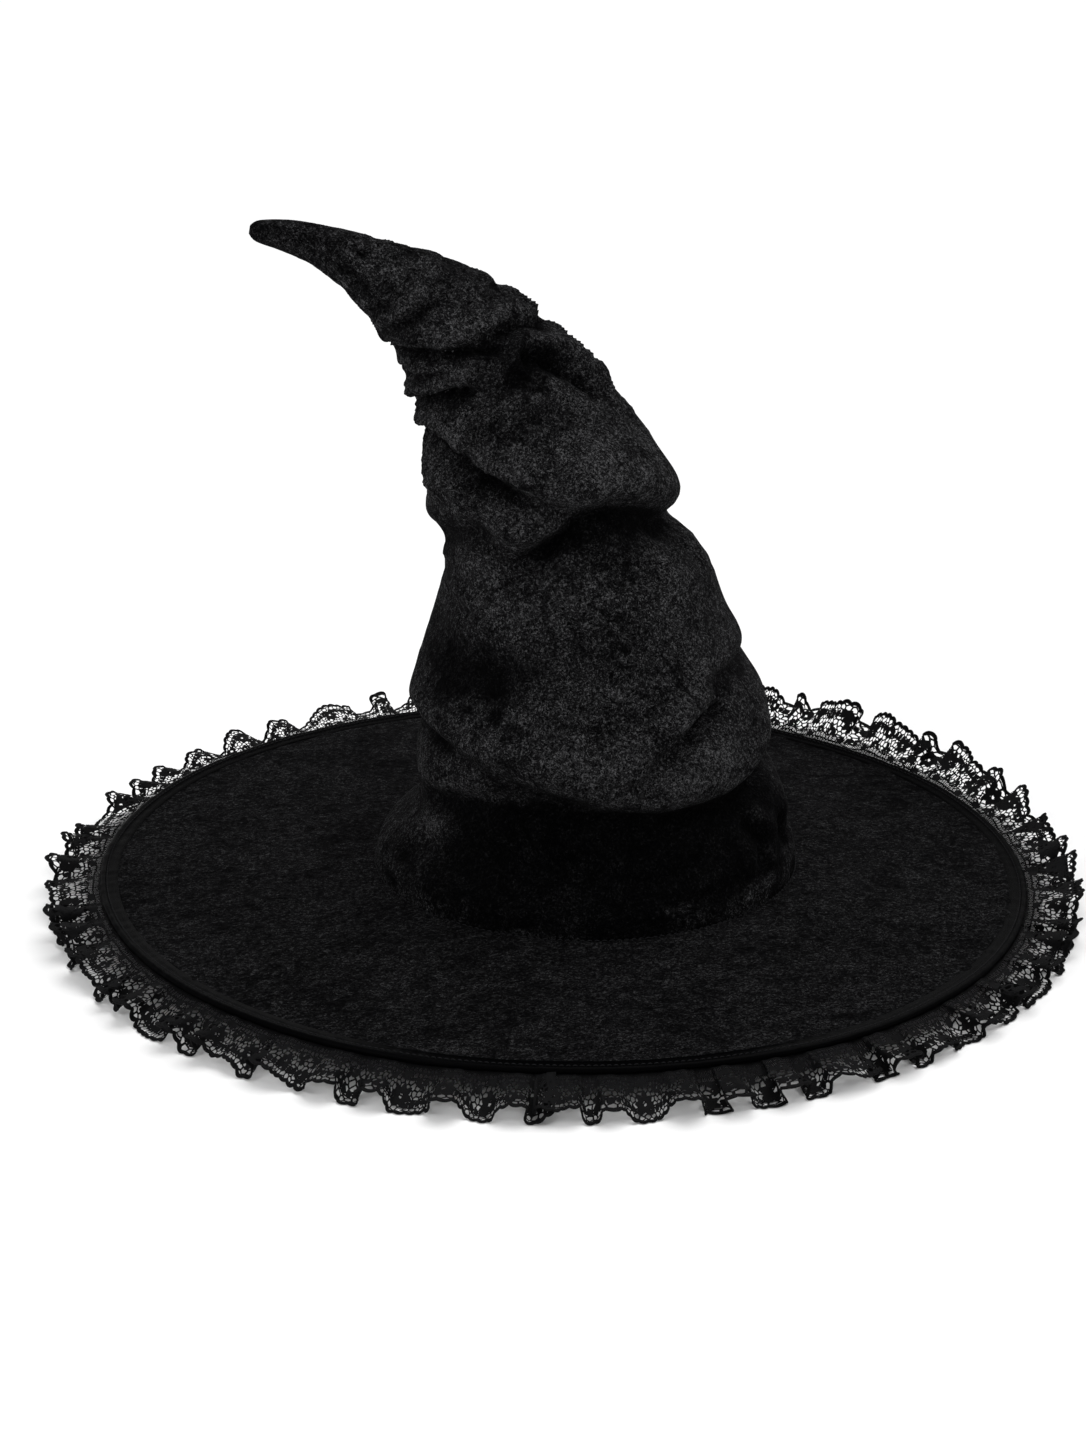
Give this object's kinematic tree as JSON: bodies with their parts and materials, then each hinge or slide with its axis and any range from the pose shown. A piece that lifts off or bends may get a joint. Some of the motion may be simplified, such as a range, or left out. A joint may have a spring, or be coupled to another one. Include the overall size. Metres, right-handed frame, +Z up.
{
  "type": "witch hat",
  "caption": "Scrunched black velvet witch hat with a leaning, posable crown and a stiff round brim with a satin bound edge and a gathered lace ruffle.",
  "frame": {"origin": "on the surface the hat rests on, under the middle of the brim", "axes": "+Z up, the tip of the crown leans towards -X, and the wearer's front or back is along Y"},
  "size_m": [0.506, 0.506, 0.3307],
  "materials": {
    "crushed_velvet": "crushed pile",
    "binding_satin": "satin",
    "lace": "matte",
    "heading_tape": "matte",
    "thread": "semi-matte",
    "lining_satin": "satin",
    "grosgrain": "ribbed",
    "interlining_felt": "felted",
    "foam": "open cell",
    "fibre_stuffing": "fluffy",
    "steel_wire": "drawn"
  },
  "bodies": {
    "hat_base": {"brim_top_velvet": "crushed_velvet", "brim_foam": "foam", "brim_under_velvet": "crushed_velvet", "edge_wire": "steel_wire", "edge_wire_joiner": "steel_wire", "edge_binding": "binding_satin", "binding_stitches": "thread", "lace_heading_tape": "heading_tape", "lace_gathering_stitches": "thread", "lace_ruffle": "lace", "sweatband": "grosgrain", "sweatband_stitches": "thread", "crown_seam_stitches": "thread", "crown_velvet_lower": "crushed_velvet", "crown_interlining_lower": "interlining_felt", "crown_lining": "lining_satin", "stuffing_lower": "fibre_stuffing", "spine_anchor": "interlining_felt", "spine_wire_lower": "steel_wire"},
    "crown_upper": {"crown_velvet_middle": "crushed_velvet", "crown_interlining_middle": "interlining_felt", "stuffing_middle": "fibre_stuffing", "spine_wire_middle": "steel_wire"},
    "crown_tip": {"crown_velvet_tip": "crushed_velvet", "crown_interlining_tip": "interlining_felt", "stuffing_tip": "fibre_stuffing", "spine_wire_tip": "steel_wire", "spine_end_cap": "interlining_felt"}
  },
  "joints": [
    {"name": "crown_bend", "type": "hinge", "parent": "hat_base", "child": "crown_upper", "pos_m": [-0.02025, 0, 0.23074], "axis": [0, -1, 0], "range_deg": [-15, 15]},
    {"name": "tip_curl", "type": "hinge", "parent": "crown_upper", "child": "crown_tip", "pos_m": [-0.065, 0, 0.29299], "axis": [0, -1, 0], "range_deg": [-15, 15]}
  ]
}
